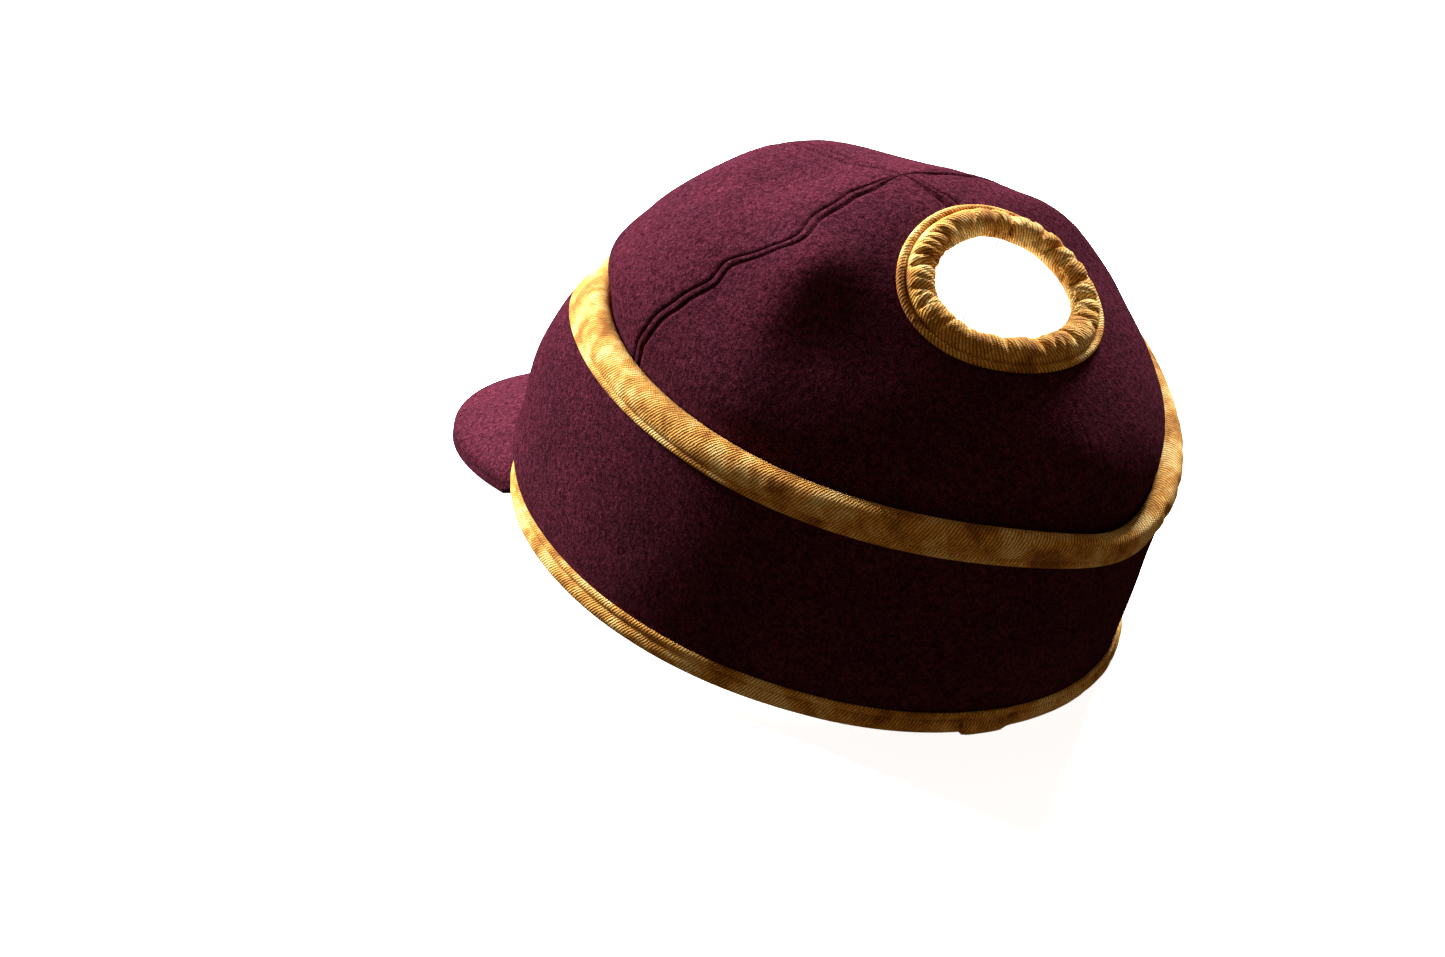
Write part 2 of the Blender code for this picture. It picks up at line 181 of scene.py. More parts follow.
# How the cloth departs from the plain shape round the rim: by how much, at which angle and how widely, in
# degrees. 0 is the wearer's left, 90 the rear, 180 the wearer's right and -90 the visor.
EDGE_LIFT = (10 * MM, 172, 21)
REAR_SAG = (9 * MM, 103, 24)
BROW_SAG = (6 * MM, -92, 26)
FRONT_FULLNESS = (4.2 * MM, -56, 24)
FRONT_BULGE = (4.2 * MM, -52, 34)
REAR_BULGE = (1.5 * MM, 60, 60)
REAR_DENT = (3.0 * MM, 146, 15)
REAR_DENT_HEIGHT, REAR_DENT_SPREAD = 19 * MM, 9 * MM
RIM_TUCK = (1.8 * MM, -50, 24)
RIM_TUCK_HEIGHT = 14 * MM

# The heights between which the dome's swelling over the earband comes and goes, and its sizes.
SWELL_COMES, SWELL_GOES = (60 * MM, 71 * MM), (82 * MM, 116 * MM)
OVERHANG_COMES = (75.2 * MM, 84 * MM)
FULLNESS_COMES, FULLNESS_GOES = (75 * MM, 81 * MM), (81 * MM, 94 * MM)
DENTS_COME = (74 * MM, 90 * MM)
SWELL = 3.9 * MM
SWELL_FOR_LIFT = 0.18
OVERHANG = 1.2 * MM
FULLNESS_BEHIND_BAND, FULLNESS_ABOVE_BAND = 0.15, 0.56

NORMAL_STEP = 1e-3
NORMAL_HIGHEST = 0.992


def ring_point(angle, height, inset=0.0):
    """A point on the earband's plain shape. Angle 0 is the wearer's left, and a quarter turn is the rear."""
    angle, height, inset = np.broadcast_arrays(angle, height, inset)
    share = height / BAND_HEIGHT
    half_width = RIM_HALF_WIDTH + (BAND_TOP_HALF_WIDTH - RIM_HALF_WIDTH) * share - inset
    half_length = RIM_HALF_LENGTH + (BAND_TOP_HALF_LENGTH - RIM_HALF_LENGTH) * share - inset
    y = BAND_TOP_SHIFT * share + half_length * np.sin(angle)
    return np.stack([half_width * np.cos(angle), y, height], -1)


def around(place, angle):
    """A soft bump round the rim: place gives its height, its angle and its width in degrees."""
    height, middle, width = place
    away = wrapped(angle - math.radians(middle))
    return height * np.exp(-((away / math.radians(width)) ** 2))


def edge_lift(angle):
    """The earband's upper edge is higher on the wearer's right, and sags near the rear and at the brow."""
    return around(EDGE_LIFT, angle) - (around(REAR_SAG, angle) + around(BROW_SAG, angle))


def band_point(angle, height, inset=0.0):
    """A point of the earband as its cloth lies: lifted, sagging and bulging from its plain shape."""
    angle, height, inset = np.broadcast_arrays(angle, height, inset)
    share = np.clip(height / BAND_HEIGHT, 0, 1)
    give = 4 * share * (1 - share) * (around(FRONT_BULGE, angle) + around(REAR_BULGE, angle))
    give = give - around(REAR_DENT, angle) * bump(REAR_DENT_HEIGHT, REAR_DENT_SPREAD, height)
    give = give + around(FRONT_FULLNESS, angle) * (smooth(0.1, 0.6, share) - smooth(0.8, 1.0, share))
    give = give - around(RIM_TUCK, angle) * (1 - smooth(0, RIM_TUCK_HEIGHT, height))
    points = ring_point(angle, height, inset - give)
    lift = edge_lift(angle) * share**1.5
    return points + lift[..., None] * np.array([0, 0, 1.0])


def swelling(points, shape):
    """How far the dome stands out because of one soft swelling and its mirror image."""
    height, middle_x, middle_y, radius = shape
    total = 0
    for side in (-1, 1):
        distance = np.hypot(points[..., 0] - side * middle_x, points[..., 1] - middle_y)
        total = total + height * np.exp(-((distance / radius) ** 2))
    return total


def crown_point(angle, rise):
    """The crown's outside: up its wall behind the earband to WALL_SHARE, then over the dome to 1."""
    angle, rise = np.broadcast_arrays(angle, rise)
    share = np.minimum(rise / WALL_SHARE, 1)
    height = CROWN_LOW_Z + (BAND_HEIGHT - CROWN_LOW_Z) * share
    inset = CROWN_INSET_LOW + (CROWN_INSET_HIGH - CROWN_INSET_LOW) * share
    wall = ring_point(angle, height, inset)
    turn = np.clip((rise - WALL_SHARE) / (1 - WALL_SHARE), 0, 1) * math.pi / 2
    lift = np.sin(turn) ** CROWN_ROUNDNESS
    spread = np.cos(turn)
    middle = BAND_TOP_SHIFT * share + (CROWN_TOP[1] - BAND_TOP_SHIFT) * lift
    y = middle + (wall[..., 1] - BAND_TOP_SHIFT * share) * spread
    z = wall[..., 2] + (CROWN_TOP[2] - BAND_HEIGHT) * lift
    points = np.stack([wall[..., 0] * spread, y, z], -1)
    stands_out = (swelling(points, SHOULDER) + swelling(points, HOLLOW)) * (rise > WALL_SHARE)
    return points + unit(points - DOME_CENTRE) * stands_out[..., None]


def crown_normal(angle, rise):
    """The direction straight out of the crown's base shape. At its very top it is taken from just below."""
    step = NORMAL_STEP
    inside = np.clip(rise, step, NORMAL_HIGHEST)
    sideways = crown_point(angle + step, inside) - crown_point(angle - step, inside)
    up = crown_point(angle, inside + step) - crown_point(angle, inside - step)
    return unit(np.cross(sideways, up))


def crown_swell(points, angle):
    """How far the dome swells out behind the earband's upper edge and over it, and its unevenness."""
    lift = edge_lift(angle)
    height = points[..., 2] - lift
    coming = smooth(*SWELL_COMES, height)
    pressed = SWELL + SWELL_FOR_LIFT * np.maximum(lift, 0)
    bulge = pressed * coming + OVERHANG * smooth(*OVERHANG_COMES, height)
    bulge = bulge * (1 - smooth(*SWELL_GOES, height))
    full = FULLNESS_BEHIND_BAND * coming + FULLNESS_ABOVE_BAND * smooth(*FULLNESS_COMES, height)
    bulge = bulge + around(FRONT_FULLNESS, angle) * full * (1 - smooth(*FULLNESS_GOES, height))
    dents = 0.7 * MM * uneven(points, 42 * MM, 3) + 0.25 * MM * uneven(points, 13 * MM, 5)
    return bulge + dents * smooth(*DENTS_COME, points[..., 2])


# ---------------------------------------------------------------- meshes

SHARP_EDGE = math.radians(60)
WELD_DISTANCE = 1e-6


def add_object(name, data):
    placed = bpy.data.objects.new(name, data)
    bpy.context.scene.collection.objects.link(placed)
    return placed


def new_piece(name, points, faces, cloth, material):
    """A mesh of cap-frame points. Cloth holds each face corner's place on the flat cloth, in metres."""
    mesh = bpy.data.meshes.new(name)
    mesh.from_pydata(to_world(points).tolist(), [], faces)
    if cloth is not None:
        layer = mesh.uv_layers.new(name="cloth")
        layer.data.foreach_set("uv", np.asarray(cloth, np.float32).ravel())
    edit = bmesh.new()
    edit.from_mesh(mesh)
    bmesh.ops.remove_doubles(edit, verts=edit.verts, dist=WELD_DISTANCE)
    bmesh.ops.recalc_face_normals(edit, faces=edit.faces)
    edit.to_mesh(mesh)
    edit.free()
    mesh.materials.append(material)
    mesh.shade_smooth()
    mesh.set_sharp_from_angle(angle=SHARP_EDGE)
    return add_object(name, mesh)


def quads(rows, columns, wrap_rows, wrap_columns):
    """Corner indices of a grid's faces, and the same ones counted without wrapping for the cloth."""
    faces, corners = [], []
    for j in range(rows if wrap_rows else rows - 1):
        for i in range(columns if wrap_columns else columns - 1):
            square = ((j, i), (j, i + 1), (j + 1, i + 1), (j + 1, i))
            faces.append([(a % rows) * columns + b % columns for a, b in square])
            corners += square
    return faces, corners


def add_sweep(name, grid, along, across, material, closed=True):
    """A body through a row of closed outlines, grid[row][point]. Open ends are capped."""
    rows, columns = grid.shape[:2]
    faces, corners = quads(rows, columns, closed, True)
    cloth = [(along[j], across[i]) for j, i in corners]
    if not closed:
        for j in (0, rows - 1):
            faces.append([j * columns + i for i in range(columns)])
            cloth += [(along[j], across[i]) for i in range(columns)]
    return new_piece(name, grid.reshape(-1, 3), faces, cloth, material)


def add_shell(name, outer, inner, along, across, material, closed=False):
    """A layer of cloth between two matching grids. Along runs over the columns, across over the rows."""
    rows, columns = outer.shape[:2]
    points = np.concatenate([outer.reshape(-1, 3), inner.reshape(-1, 3)])
    far = rows * columns
    faces, corners = quads(rows, columns, False, closed)
    squares = [corners[k : k + 4] for k in range(0, len(corners), 4)]
    faces += [[far + k for k in reversed(face)] for face in faces]
    corners += [corner for square in squares for corner in reversed(square)]
    for j in (0, rows - 1):
        for i in range(columns if closed else columns - 1):
            here, after = j * columns + i, j * columns + (i + 1) % columns
            faces.append([here, after, far + after, far + here])
            corners += [(j, i), (j, i + 1), (j, i + 1), (j, i)]
    if not closed:
        for i in (0, columns - 1):
            for j in range(rows - 1):
                low, high = j * columns + i, (j + 1) * columns + i
                faces.append([low, high, far + high, far + low])
                corners += [(j, i), (j + 1, i), (j + 1, i), (j, i)]
    cloth = [(along[i], across[j]) for j, i in corners]
    return new_piece(name, points, faces, cloth, material)


def lengths(points, closed=False):
    """The distance along a row of points at each of them, with the closing step's too if it is closed."""
    row = np.concatenate([points, points[:1]]) if closed else points
    return np.concatenate([[0], np.cumsum(np.linalg.norm(np.diff(row, axis=0), axis=1))])


def dress(piece, body, slot, *nodes):
    """The piece stands for CAD nodes and moves with a body; a piece across both bodies is only baked in place in
    the world. The slot is not used.
    """
    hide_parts(*nodes)
    if body == "both":
        level = HINGE[2]
        start, end = to_world([[0, BLEND_FRONT_Y, level], [0, BLEND_REAR_Y, level]])
        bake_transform(piece)
    else:
        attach(piece, body)


# ---------------------------------------------------------------- crown and lining

WOOL = 2.0 * MM
GAP = 0.3 * MM
LINING = 0.7 * MM
CROWN_LENGTH = 175 * MM
WALL_ROWS, DOME_ROWS, QUARTER_COLUMNS = 14, 104, 40
QUARTER_SAMPLES = 260

# The columns beside a seam, by their distance from it, and the most of a quarter's width that they take up.
SEAM_STEPS = MM * np.array([
    0.0, 0.3, 0.6, 0.95, 1.35, 1.8, 2.4, 3.0, 3.5, 3.9, 4.25, 4.6, 5.1, 6, 7.4, 9.2, 11.5,
])
SEAM_SHARE = 0.42

# A seam's section: the cloth turns down into the join, and a welt is stitched down along its far side.
JOIN_DEPTH, JOIN_WIDTH = 1.5 * MM, 0.75 * MM
WELT_HEIGHT = 0.6 * MM
WELT_COMES, WELT_GOES = (0.3 * MM, 1.5 * MM), (3.0 * MM, 4.0 * MM)
STITCH_AT, STITCH_DEPTH, STITCH_WIDTH = 4.1 * MM, 0.9 * MM, 0.75 * MM
BEYOND_AT, BEYOND_HEIGHT, BEYOND_WIDTH = 6.0 * MM, 0.22 * MM, 1.6 * MM
PULL_AT, PULL_HEIGHT, PULL_WIDTH = 6 * MM, 0.16 * MM, 5 * MM

# How deep each seam lies. The rear one is nearly flat below the ponytail opening.
SEAM_DEPTH = {"front": 0.4, "left": 0.55, "rear": 0.75, "right": 0.7, "front again": 0.4}
REAR_SEAM_FROM = 0.78
REAR_SEAM_LEAST = 0.08

# The left seam's extra bends to the rear: degrees, rise and width. Each wander of a seam: its size, its share
# of SEAM_WAVE and its phase. It fades out towards the crown's top.
LEFT_SEAM_BENDS = ((6.5, 0.745, 0.045), (-3.4, 0.645, 0.035))
SEAM_WAVE = 33 * MM
WANDERS = ((0.45 * MM, 1, 2), (0.25 * MM, 0.43, 4))
WANDER_LEAST_RADIUS, WANDER_FULL_RADIUS = 4 * MM, 26 * MM

CUTTER_SIDES = 96
CUTTER_REACH = 40 * MM


def seam_angle(seam, rise):
    """A seam's angle at a rise: its bend to the rear, and its wander from a true line."""
    foot, bow = SEAMS[seam]
    angle = foot + bow * smooth(WALL_SHARE, SEAM_BEND_END, rise)
    if seam == "left":
        angle += sum(math.radians(turn) * bump(at, width, rise) for turn, at, width in LEFT_SEAM_BENDS)
    radius = np.linalg.norm(crown_point(angle, rise) - crown_point(angle + math.pi, rise)) / 2
    travel = rise * CROWN_LENGTH
    wander = sum(size * wave(travel, share * SEAM_WAVE, phase * foot) for size, share, phase in WANDERS)
    shown = smooth(WANDER_LEAST_RADIUS, WANDER_FULL_RADIUS, radius)
    return angle + wander * shown / max(radius, WANDER_LEAST_RADIUS)


def seam_profile(distance, rise, seam, welt):
    """The height of the cloth beside a seam: it turns down into the join, and a welt is stitched down."""
    height = -JOIN_DEPTH * np.exp(-((distance / JOIN_WIDTH) ** 1.5))
    if welt:
        height += WELT_HEIGHT * smooth(*WELT_COMES, distance) * (1 - smooth(*WELT_GOES, distance))
        height -= STITCH_DEPTH * bump(STITCH_AT, STITCH_WIDTH, distance)
        height += BEYOND_HEIGHT * bump(BEYOND_AT, BEYOND_WIDTH, distance)
    travel = rise * CROWN_LENGTH
    pull = wave(travel, 12 * MM) + 0.6 * wave(travel, 7.3 * MM, 1.0)
    height += PULL_HEIGHT * pull * bump(PULL_AT, PULL_WIDTH, distance)
    depth = SEAM_DEPTH[seam]
    if seam == "rear":
        shown = smooth(REAR_SEAM_FROM - 0.02, REAR_SEAM_FROM + 0.02, rise)
        depth *= REAR_SEAM_LEAST + (1 - REAR_SEAM_LEAST) * shown
    return height * depth


def quarter(first, last, welts, rises):
    """A crown quarter's grids of angles and heights above the base shape, fine near its two seams."""
    angles, heights = [], []
    for rise in rises:
        line = np.linspace(seam_angle(first, rise), seam_angle(last, rise), QUARTER_SAMPLES)
        reach = lengths(crown_point(line, rise))
        total = max(reach[-1], 1e-9)
        scale = min(1.0, SEAM_SHARE * total / SEAM_STEPS[-1])
        near = SEAM_STEPS * scale
        between = np.linspace(near[-1], total - near[-1], QUARTER_COLUMNS)[1:-1]
        distance = np.concatenate([near, between, (total - near)[::-1]])
        angles.append(np.interp(distance, reach, line))
        profile = seam_profile(distance / scale, rise, first, welts[0])
        profile += seam_profile((total - distance) / scale, rise, last, welts[1])
        heights.append(profile * min(1.0, scale + 0.35))
    return np.array(angles), np.array(heights)


def hole_outline(count, grow=0.0):
    """Points around the ponytail opening in the plane through its middle."""
    sideways = np.array([1.0, 0, 0])
    downhill = np.cross(HOLE_OUT, sideways)
    turn = 2 * math.pi * np.arange(count)[:, None] / count
    reach = sideways * np.cos(turn) * (HOLE_HALF_WIDTH + grow)
    return HOLE_AT + reach + downhill * np.sin(turn) * (HOLE_HALF_LENGTH + grow)


def cut_hole(piece, cutter):
    """Cuts the ponytail opening through a piece and keeps the result as its mesh."""
    cut = piece.modifiers.new("opening", "BOOLEAN")
    cut.operation = "DIFFERENCE"
    cut.object = cutter
    cut.solver = "EXACT"
    graph = bpy.context.evaluated_depsgraph_get()
    whole = piece.data
    piece.data = bpy.data.meshes.new_from_object(piece.evaluated_get(graph))
    piece.modifiers.clear()
    bpy.data.meshes.remove(whole)


def make_cutter():
    """A prism through the ponytail opening, for cutting only."""
    outline = hole_outline(CUTTER_SIDES)
    grid = np.stack([outline + HOLE_OUT * level for level in (-CUTTER_REACH, CUTTER_REACH)])
    return add_sweep("hole_cutter", grid, np.zeros(3), np.zeros(CUTTER_SIDES + 1), None, closed=False)


def make_crown(wool, satin):
    """Four quarters of wool with four of lining behind them."""
    # A quarter's two seams, and whether it has the welt of each.
    quarters = {
        "front_left": ("front", "left", (True, False)),
        "rear_left": ("left", "rear", (True, False)),
        "rear_right": ("rear", "right", (True, True)),
        "front_right": ("right", "front again", (False, False)),
    }
    wall = np.linspace(0, WALL_SHARE, WALL_ROWS)[:-1]
    dome = WALL_SHARE + (1 - WALL_SHARE) * np.linspace(0, 1, DOME_ROWS)
    rises = np.concatenate([wall, dome])
    cutter = make_cutter()
    for name, (first, last, welts) in quarters.items():
        angles, heights = quarter(first, last, welts, rises)
        rise = np.broadcast_to(rises[:, None], angles.shape)
        base = crown_point(angles, rise)
        normal = crown_normal(angles, rise)
        swell = crown_swell(base, angles)
        outer = base + normal * (heights + swell)[..., None]
        inner = base + normal * (swell - WOOL)[..., None]
        along = lengths(base[len(wall)])
        across = lengths(base[:, base.shape[1] // 2])
        panel = add_shell(f"wool_panel_{name}", outer, inner, along, across, wool)
        lined = swell - WOOL - GAP
        tuck = 0.5 * np.minimum(heights, 0)
        behind = base + normal * (lined + tuck)[..., None]
        front = base + normal * (lined + tuck - LINING)[..., None]
        lining = add_shell(f"satin_lining_{name}", behind[:, ::2], front[:, ::2], along[::2], across, satin)
        for piece, slot, node in ((panel, "wool", "crown_panel_"), (lining, "lining", "lining_")):
            if name.startswith("rear"):
                cut_hole(piece, cutter)
            dress(piece, "cap", slot, node + name)
    bpy.data.objects.remove(cutter)


# ---------------------------------------------------------------- bindings

TWILL = 0.9 * MM
STRIP_END = 0.35 * TWILL
CURVE_STEPS = 12


def curve_through(points, count):
    """A smooth line through the points, evenly spaced along its length."""
    ends = np.concatenate([[2 * points[0] - points[1]], points, [2 * points[-1] - points[-2]]])
    share = np.linspace(0, 1, CURVE_STEPS, endpoint=False)[:, None]
    line = []
    for a, b, c, d in zip(ends, ends[1:], ends[2:], ends[3:]):
        squared, cubed = 2 * a - 5 * b + 4 * c - d, 3 * b - a - 3 * c + d
        line.append(0.5 * (2 * b + (c - a) * share + squared * share**2 + cubed * share**3))
    line = np.concatenate(line + [points[-1:]])
    reach = lengths(line)
    spots = np.linspace(0, reach[-1], count)
    return np.stack([np.interp(spots, reach, line[:, k]) for k in range(2)], -1)


def folded_strip(points, count, lift=0.0):
    """The closed outline of a strip of twill whose middle follows the points, and its places on the cloth."""
    middle = curve_through(np.array(points) * MM, count)
    step = unit(np.gradient(middle, axis=0))
    out = np.stack([-step[:, 1], step[:, 0]], -1)
    middle = middle + out * lift
    front = middle + out * TWILL / 2
    back = middle - out * TWILL / 2
    caps = [middle[-1] + step[-1] * STRIP_END, middle[0] - step[0] * STRIP_END]
    outline = np.concatenate([front, caps[:1], back[::-1], caps[1:]])
    return outline, lengths(outline, closed=True)


# Middle lines of the folded strips, in mm: (outwards from the wool, up or away from the bound edge).
TOP_BINDING = (
    (0.5, -9.0), (0.95, -8.6), (1.2, -7.7), (0.65, -6.7), (1.5, -5.8), (2.0, -4.4), (2.2, -2.6), (1.8, -0.8),
    (0.8, 0.7), (-1.2, 1.3), (-3.3, 0.9), (-4.6, -0.4), (-4.75, -3), (-4.6, -7.6),
)
LOW_BINDING = (
    (0.5, 6.6), (0.95, 6.2), (1.05, 5.3), (0.35, 4.1), (1.35, 3.2), (1.9, 1.9), (1.6, 0.4),
    (0.5, -0.6), (-1.4, -1.1), (-3.3, -0.8), (-4.5, 0.4), (-4.7, 2.5), (-4.6, 5.6),
)
RING_BINDING = (
    (4.5, 0.65), (4.1, 1.05), (3.2, 1.2), (2.2, 0.25), (1.35, 1.3), (0.2, 2.4), (-1.9, 2.9), (-4.4, 2.3),
    (-6.0, 0.6), (-6.3, -1.4), (-5.2, -3.2), (-2.6, -4.1), (0.2, -4.2), (3.0, -4.0),
)

# The bindings of the earband: how many points and columns they have, and how they lie.
STRIP_POINTS = 34
BINDING_COLUMNS = 420
FRONT_FACE = (1.2 * MM, 2.4 * MM)
LOW_BINDING_TUCK = (1.1 * MM, -64, 18)
UPPER_PINCHES = ((20, 0.35, 0.7), (112, 0.9, 1.0), (121, 0.7, 1.0), (131, 0.5, 0.8), (141, 0.9, 1.3))

# The lap of the lower one: where its strip begins, how far its end goes over that, and its rounded end.
OVERLAP_AT = math.radians(72)
OVERLAP = math.radians(9)
OVERLAP_LIFT = TWILL + 0.1 * MM
OVERLAP_DROP = np.array([0, -0.5]) * MM
END_ROUNDING = 2.4 * MM
LAP_CENTRE = np.array([0, 2.8]) * MM

# The gathered ring: its tube's middle in the section, how it sits on the opening, and its folds.
RING_POINTS = 36
RING_COLUMNS = 440
RING_CENTRE = np.array([-2.0, -0.8]) * MM
RING_SHIFT = np.array([-1.0, 0, 0]) * MM
RING_SMALLER = 0.8 * MM
RING_SLIMMING = (0.12, -105, 55)
RAY_START = 50 * MM
PUCKERS, PUCKER_DEPTH, PUCKER_WIDTH = 23, 2.7 * MM, 0.036
FINE_FOLDS, FINE_FOLD_DEPTH, FINE_FOLD_WIDTH = 60, 0.65 * MM, 0.018
TUBE_FULLNESS = 0.6 * MM
TREE_COLUMNS, TREE_ROWS = 120, 60


def creases(turns, slant, seed, count, depth, width, sharp=1.4):
    """Depths of sharp little folds at uneven places round a ring. Slant shifts each fold across the strip."""
    random = np.random.default_rng(seed)
    places = 2 * math.pi * (np.arange(count) + random.uniform(-0.32, 0.32, count)) / count
    depths = depth * random.uniform(0.25, 1.0, count)
    widths = width * random.uniform(0.7, 1.5, count)
    slants = random.uniform(-1, 1, count)
    total = np.zeros(np.broadcast(turns, slant).shape)
    for place, deep, wide, lean in zip(places, depths, widths, slants):
        away = wrapped(turns - place - lean * slant)
        total -= deep * np.exp(-np.abs(away / wide) ** sharp)
    return total


def make_edge_binding(name, node, edge, outline_points, seed, pinches, twill):
    """A folded strip all round one edge of the earband, sewn through its groove.

    The lower one's end laps over its beginning. Each pinch is a place, a depth in mm and a width in degrees.
    """
    flat, cloth = folded_strip(outline_points, STRIP_POINTS)
    lap = OVERLAP if edge == 0 else 0.0
    count = BINDING_COLUMNS
    share = np.arange(count) / (count - 1 if lap else count)
    angles = OVERLAP_AT + lap - (2 * math.pi + lap) * share
    outline = flat + np.zeros((count, 1, 1))
    spine = band_point(angles, edge)
    along = lengths(spine, closed=True)
    if lap:
        raised, _ = folded_strip(outline_points, STRIP_POINTS, lift=OVERLAP_LIFT)
        over = smooth(2 * math.pi - 0.25 * lap, 2 * math.pi + 0.1 * lap, OVERLAP_AT + lap - angles)
        outline = flat + (raised - flat + OVERLAP_DROP) * over[:, None, None]
        left = along[-2] - along[:-1]
        rounded = np.sqrt(1 - np.clip(1 - left / END_ROUNDING, 0, 0.97) ** 2)
        outline = LAP_CENTRE + (outline - LAP_CENTRE) * np.stack([np.ones(count), rounded], -1)[:, None]
    full = smooth(*FRONT_FACE, outline[..., 0])
    loose = 0.30 * MM * uneven(spine, 16 * MM, seed) + 0.16 * MM * uneven(spine, 5 * MM, seed + 1)
    turns = angles[:, None]
    folds = creases(turns, 0.05 * full, seed, 40, 0.25 * MM, 0.015)
    for place, deep, wide in pinches:
        away = wrapped(turns - math.radians(place) - 0.02 * full)
        folds = folds - deep * MM * np.exp(-np.abs(away / math.radians(wide)) ** 1.5)
    out = outline[..., 0] + (loose[:, None] + folds) * full
    if edge == 0:
        out = out - around(LOW_BINDING_TUCK, turns)
    up = outline[..., 1] + 0.25 * MM * uneven(spine, 30 * MM, seed + 2)[:, None]
    grid = band_point(turns, edge + up, -out)
    piece = add_sweep(name, grid, along, cloth, twill, closed=not lap)
    dress(piece, "both", "twill", node + "_front", node + "_rear")
    return piece, (cloth[STRIP_POINTS], along[-1])


def base_tree():
    """The crown's swollen shape without its seams, as a search tree."""
    turns = 2 * math.pi * np.arange(TREE_COLUMNS) / TREE_COLUMNS
    turns, rises = np.meshgrid(turns, np.linspace(0.3, 0.999, TREE_ROWS))
    points = crown_point(turns, rises)
    points = points + crown_normal(turns, rises) * crown_swell(points, turns)[..., None]
    faces, _ = quads(TREE_ROWS, TREE_COLUMNS, False, True)
    return BVHTree.FromPolygons(points.reshape(-1, 3).tolist(), faces)


def make_ring(twill):
    """The gathered binding of the ponytail opening: a flat stitched flange and a puckered tube."""
    tree = base_tree()
    outline, cloth = folded_strip(RING_BINDING, RING_POINTS)
    turns = 2 * math.pi * np.arange(RING_COLUMNS) / RING_COLUMNS
    edge, out, away = [], [], []
    plane = hole_outline(RING_COLUMNS, -RING_SMALLER) + RING_SHIFT
    for start, spread in zip(plane, unit(plane - HOLE_AT)):
        hit, normal = tree.ray_cast(Vector(start + HOLE_OUT * RAY_START), Vector(-HOLE_OUT))[:2]
        normal = np.array(normal)
        edge.append(np.array(hit))
        out.append(normal)
        away.append(unit(spread - normal * spread.dot(normal)))
    edge, out, away = np.array(edge), np.array(out), np.array(away)
    round_tube = np.arctan2(outline[:, 1] - RING_CENTRE[1], outline[:, 0] - RING_CENTRE[0])
    soft = smooth(1.7 * MM, -0.2 * MM, outline[:, 0]) * smooth(-4.4 * MM, -1.5 * MM, outline[:, 1])
    lean = round_tube - 1.5
    folds = creases(turns[:, None], 0.06 * lean, 11, PUCKERS, PUCKER_DEPTH, PUCKER_WIDTH, 1.0) + TUBE_FULLNESS
    folds += creases(turns[:, None], 0.10 * lean, 12, FINE_FOLDS, FINE_FOLD_DEPTH, FINE_FOLD_WIDTH)
    folds *= 0.85 + 0.25 * np.sin(turns - 2.2)[:, None]
    inwards = unit(RING_CENTRE - outline)
    shape = outline - inwards * (folds * soft)[..., None]
    slim = 1 - around(RING_SLIMMING, turns)
    shape[..., 0] = np.where(shape[..., 0] < 0, shape[..., 0] * slim[:, None], shape[..., 0])
    grid = edge[:, None] + away[:, None] * shape[..., :1] + out[:, None] * shape[..., 1:]
    piece = add_sweep("gathered_ring", grid, lengths(edge, closed=True), cloth, twill)
    dress(piece, "cap", "twill", "ponytail_binding")
    return piece, (cloth[RING_POINTS], lengths(edge, closed=True)[-1])


# ---------------------------------------------------------------- earband

BAND_ROWS = 40
BAND_COLUMNS = 380
BAND_MARGIN = 0.3 * MM
FREE_COMES, FREE_GOES = (6 * MM, 22 * MM), (54 * MM, 66 * MM)
OVER_HEM = (2.2 * MM, -54, 28)
OVER_HEM_HEIGHT, OVER_HEM_SPREAD = 11 * MM, 7 * MM


def band_give(angle, height):
    """How unevenly the earband's cloth lies between its bound edges, and how it rolls over the lower one."""
    points = band_point(angle, height)
    free = smooth(*FREE_COMES, height) * (1 - smooth(*FREE_GOES, height))
    over_hem = around(OVER_HEM, angle) * bump(OVER_HEM_HEIGHT, OVER_HEM_SPREAD, height)
    return free * (0.9 * MM * uneven(points, 38 * MM, 21) + 0.2 * MM * uneven(points, 12 * MM, 22)) + over_hem


def make_band_layer(name, node, slot, inset, thickness, material):
    """One closed layer of the earband, unbroken across the joint."""
    angles = 2 * math.pi * np.arange(BAND_COLUMNS)[None, :] / BAND_COLUMNS
    heights = np.linspace(BAND_MARGIN, BAND_HEIGHT - BAND_MARGIN, BAND_ROWS)[:, None]
    give = band_give(angles, heights)
    outer = band_point(angles, heights, inset - give)
    inner = band_point(angles, heights, inset + thickness - give)
    along = lengths(outer[BAND_ROWS // 2], closed=True)
    piece = add_shell(name, outer, inner, along, heights[:, 0], material, closed=True)
    dress(piece, "both", slot, node + "_front", node + "_rear")
    return piece, (BAND_HEIGHT, along[-1])


# ---------------------------------------------------------------- visor

VISOR_ROWS, VISOR_COLUMNS = 42, 110
VISOR_END = 0.042
VISOR_CLOTH = 1.7 * MM
VISOR_LENGTHWAYS = 200 * MM
VISOR_CROSSWAYS = 70 * MM


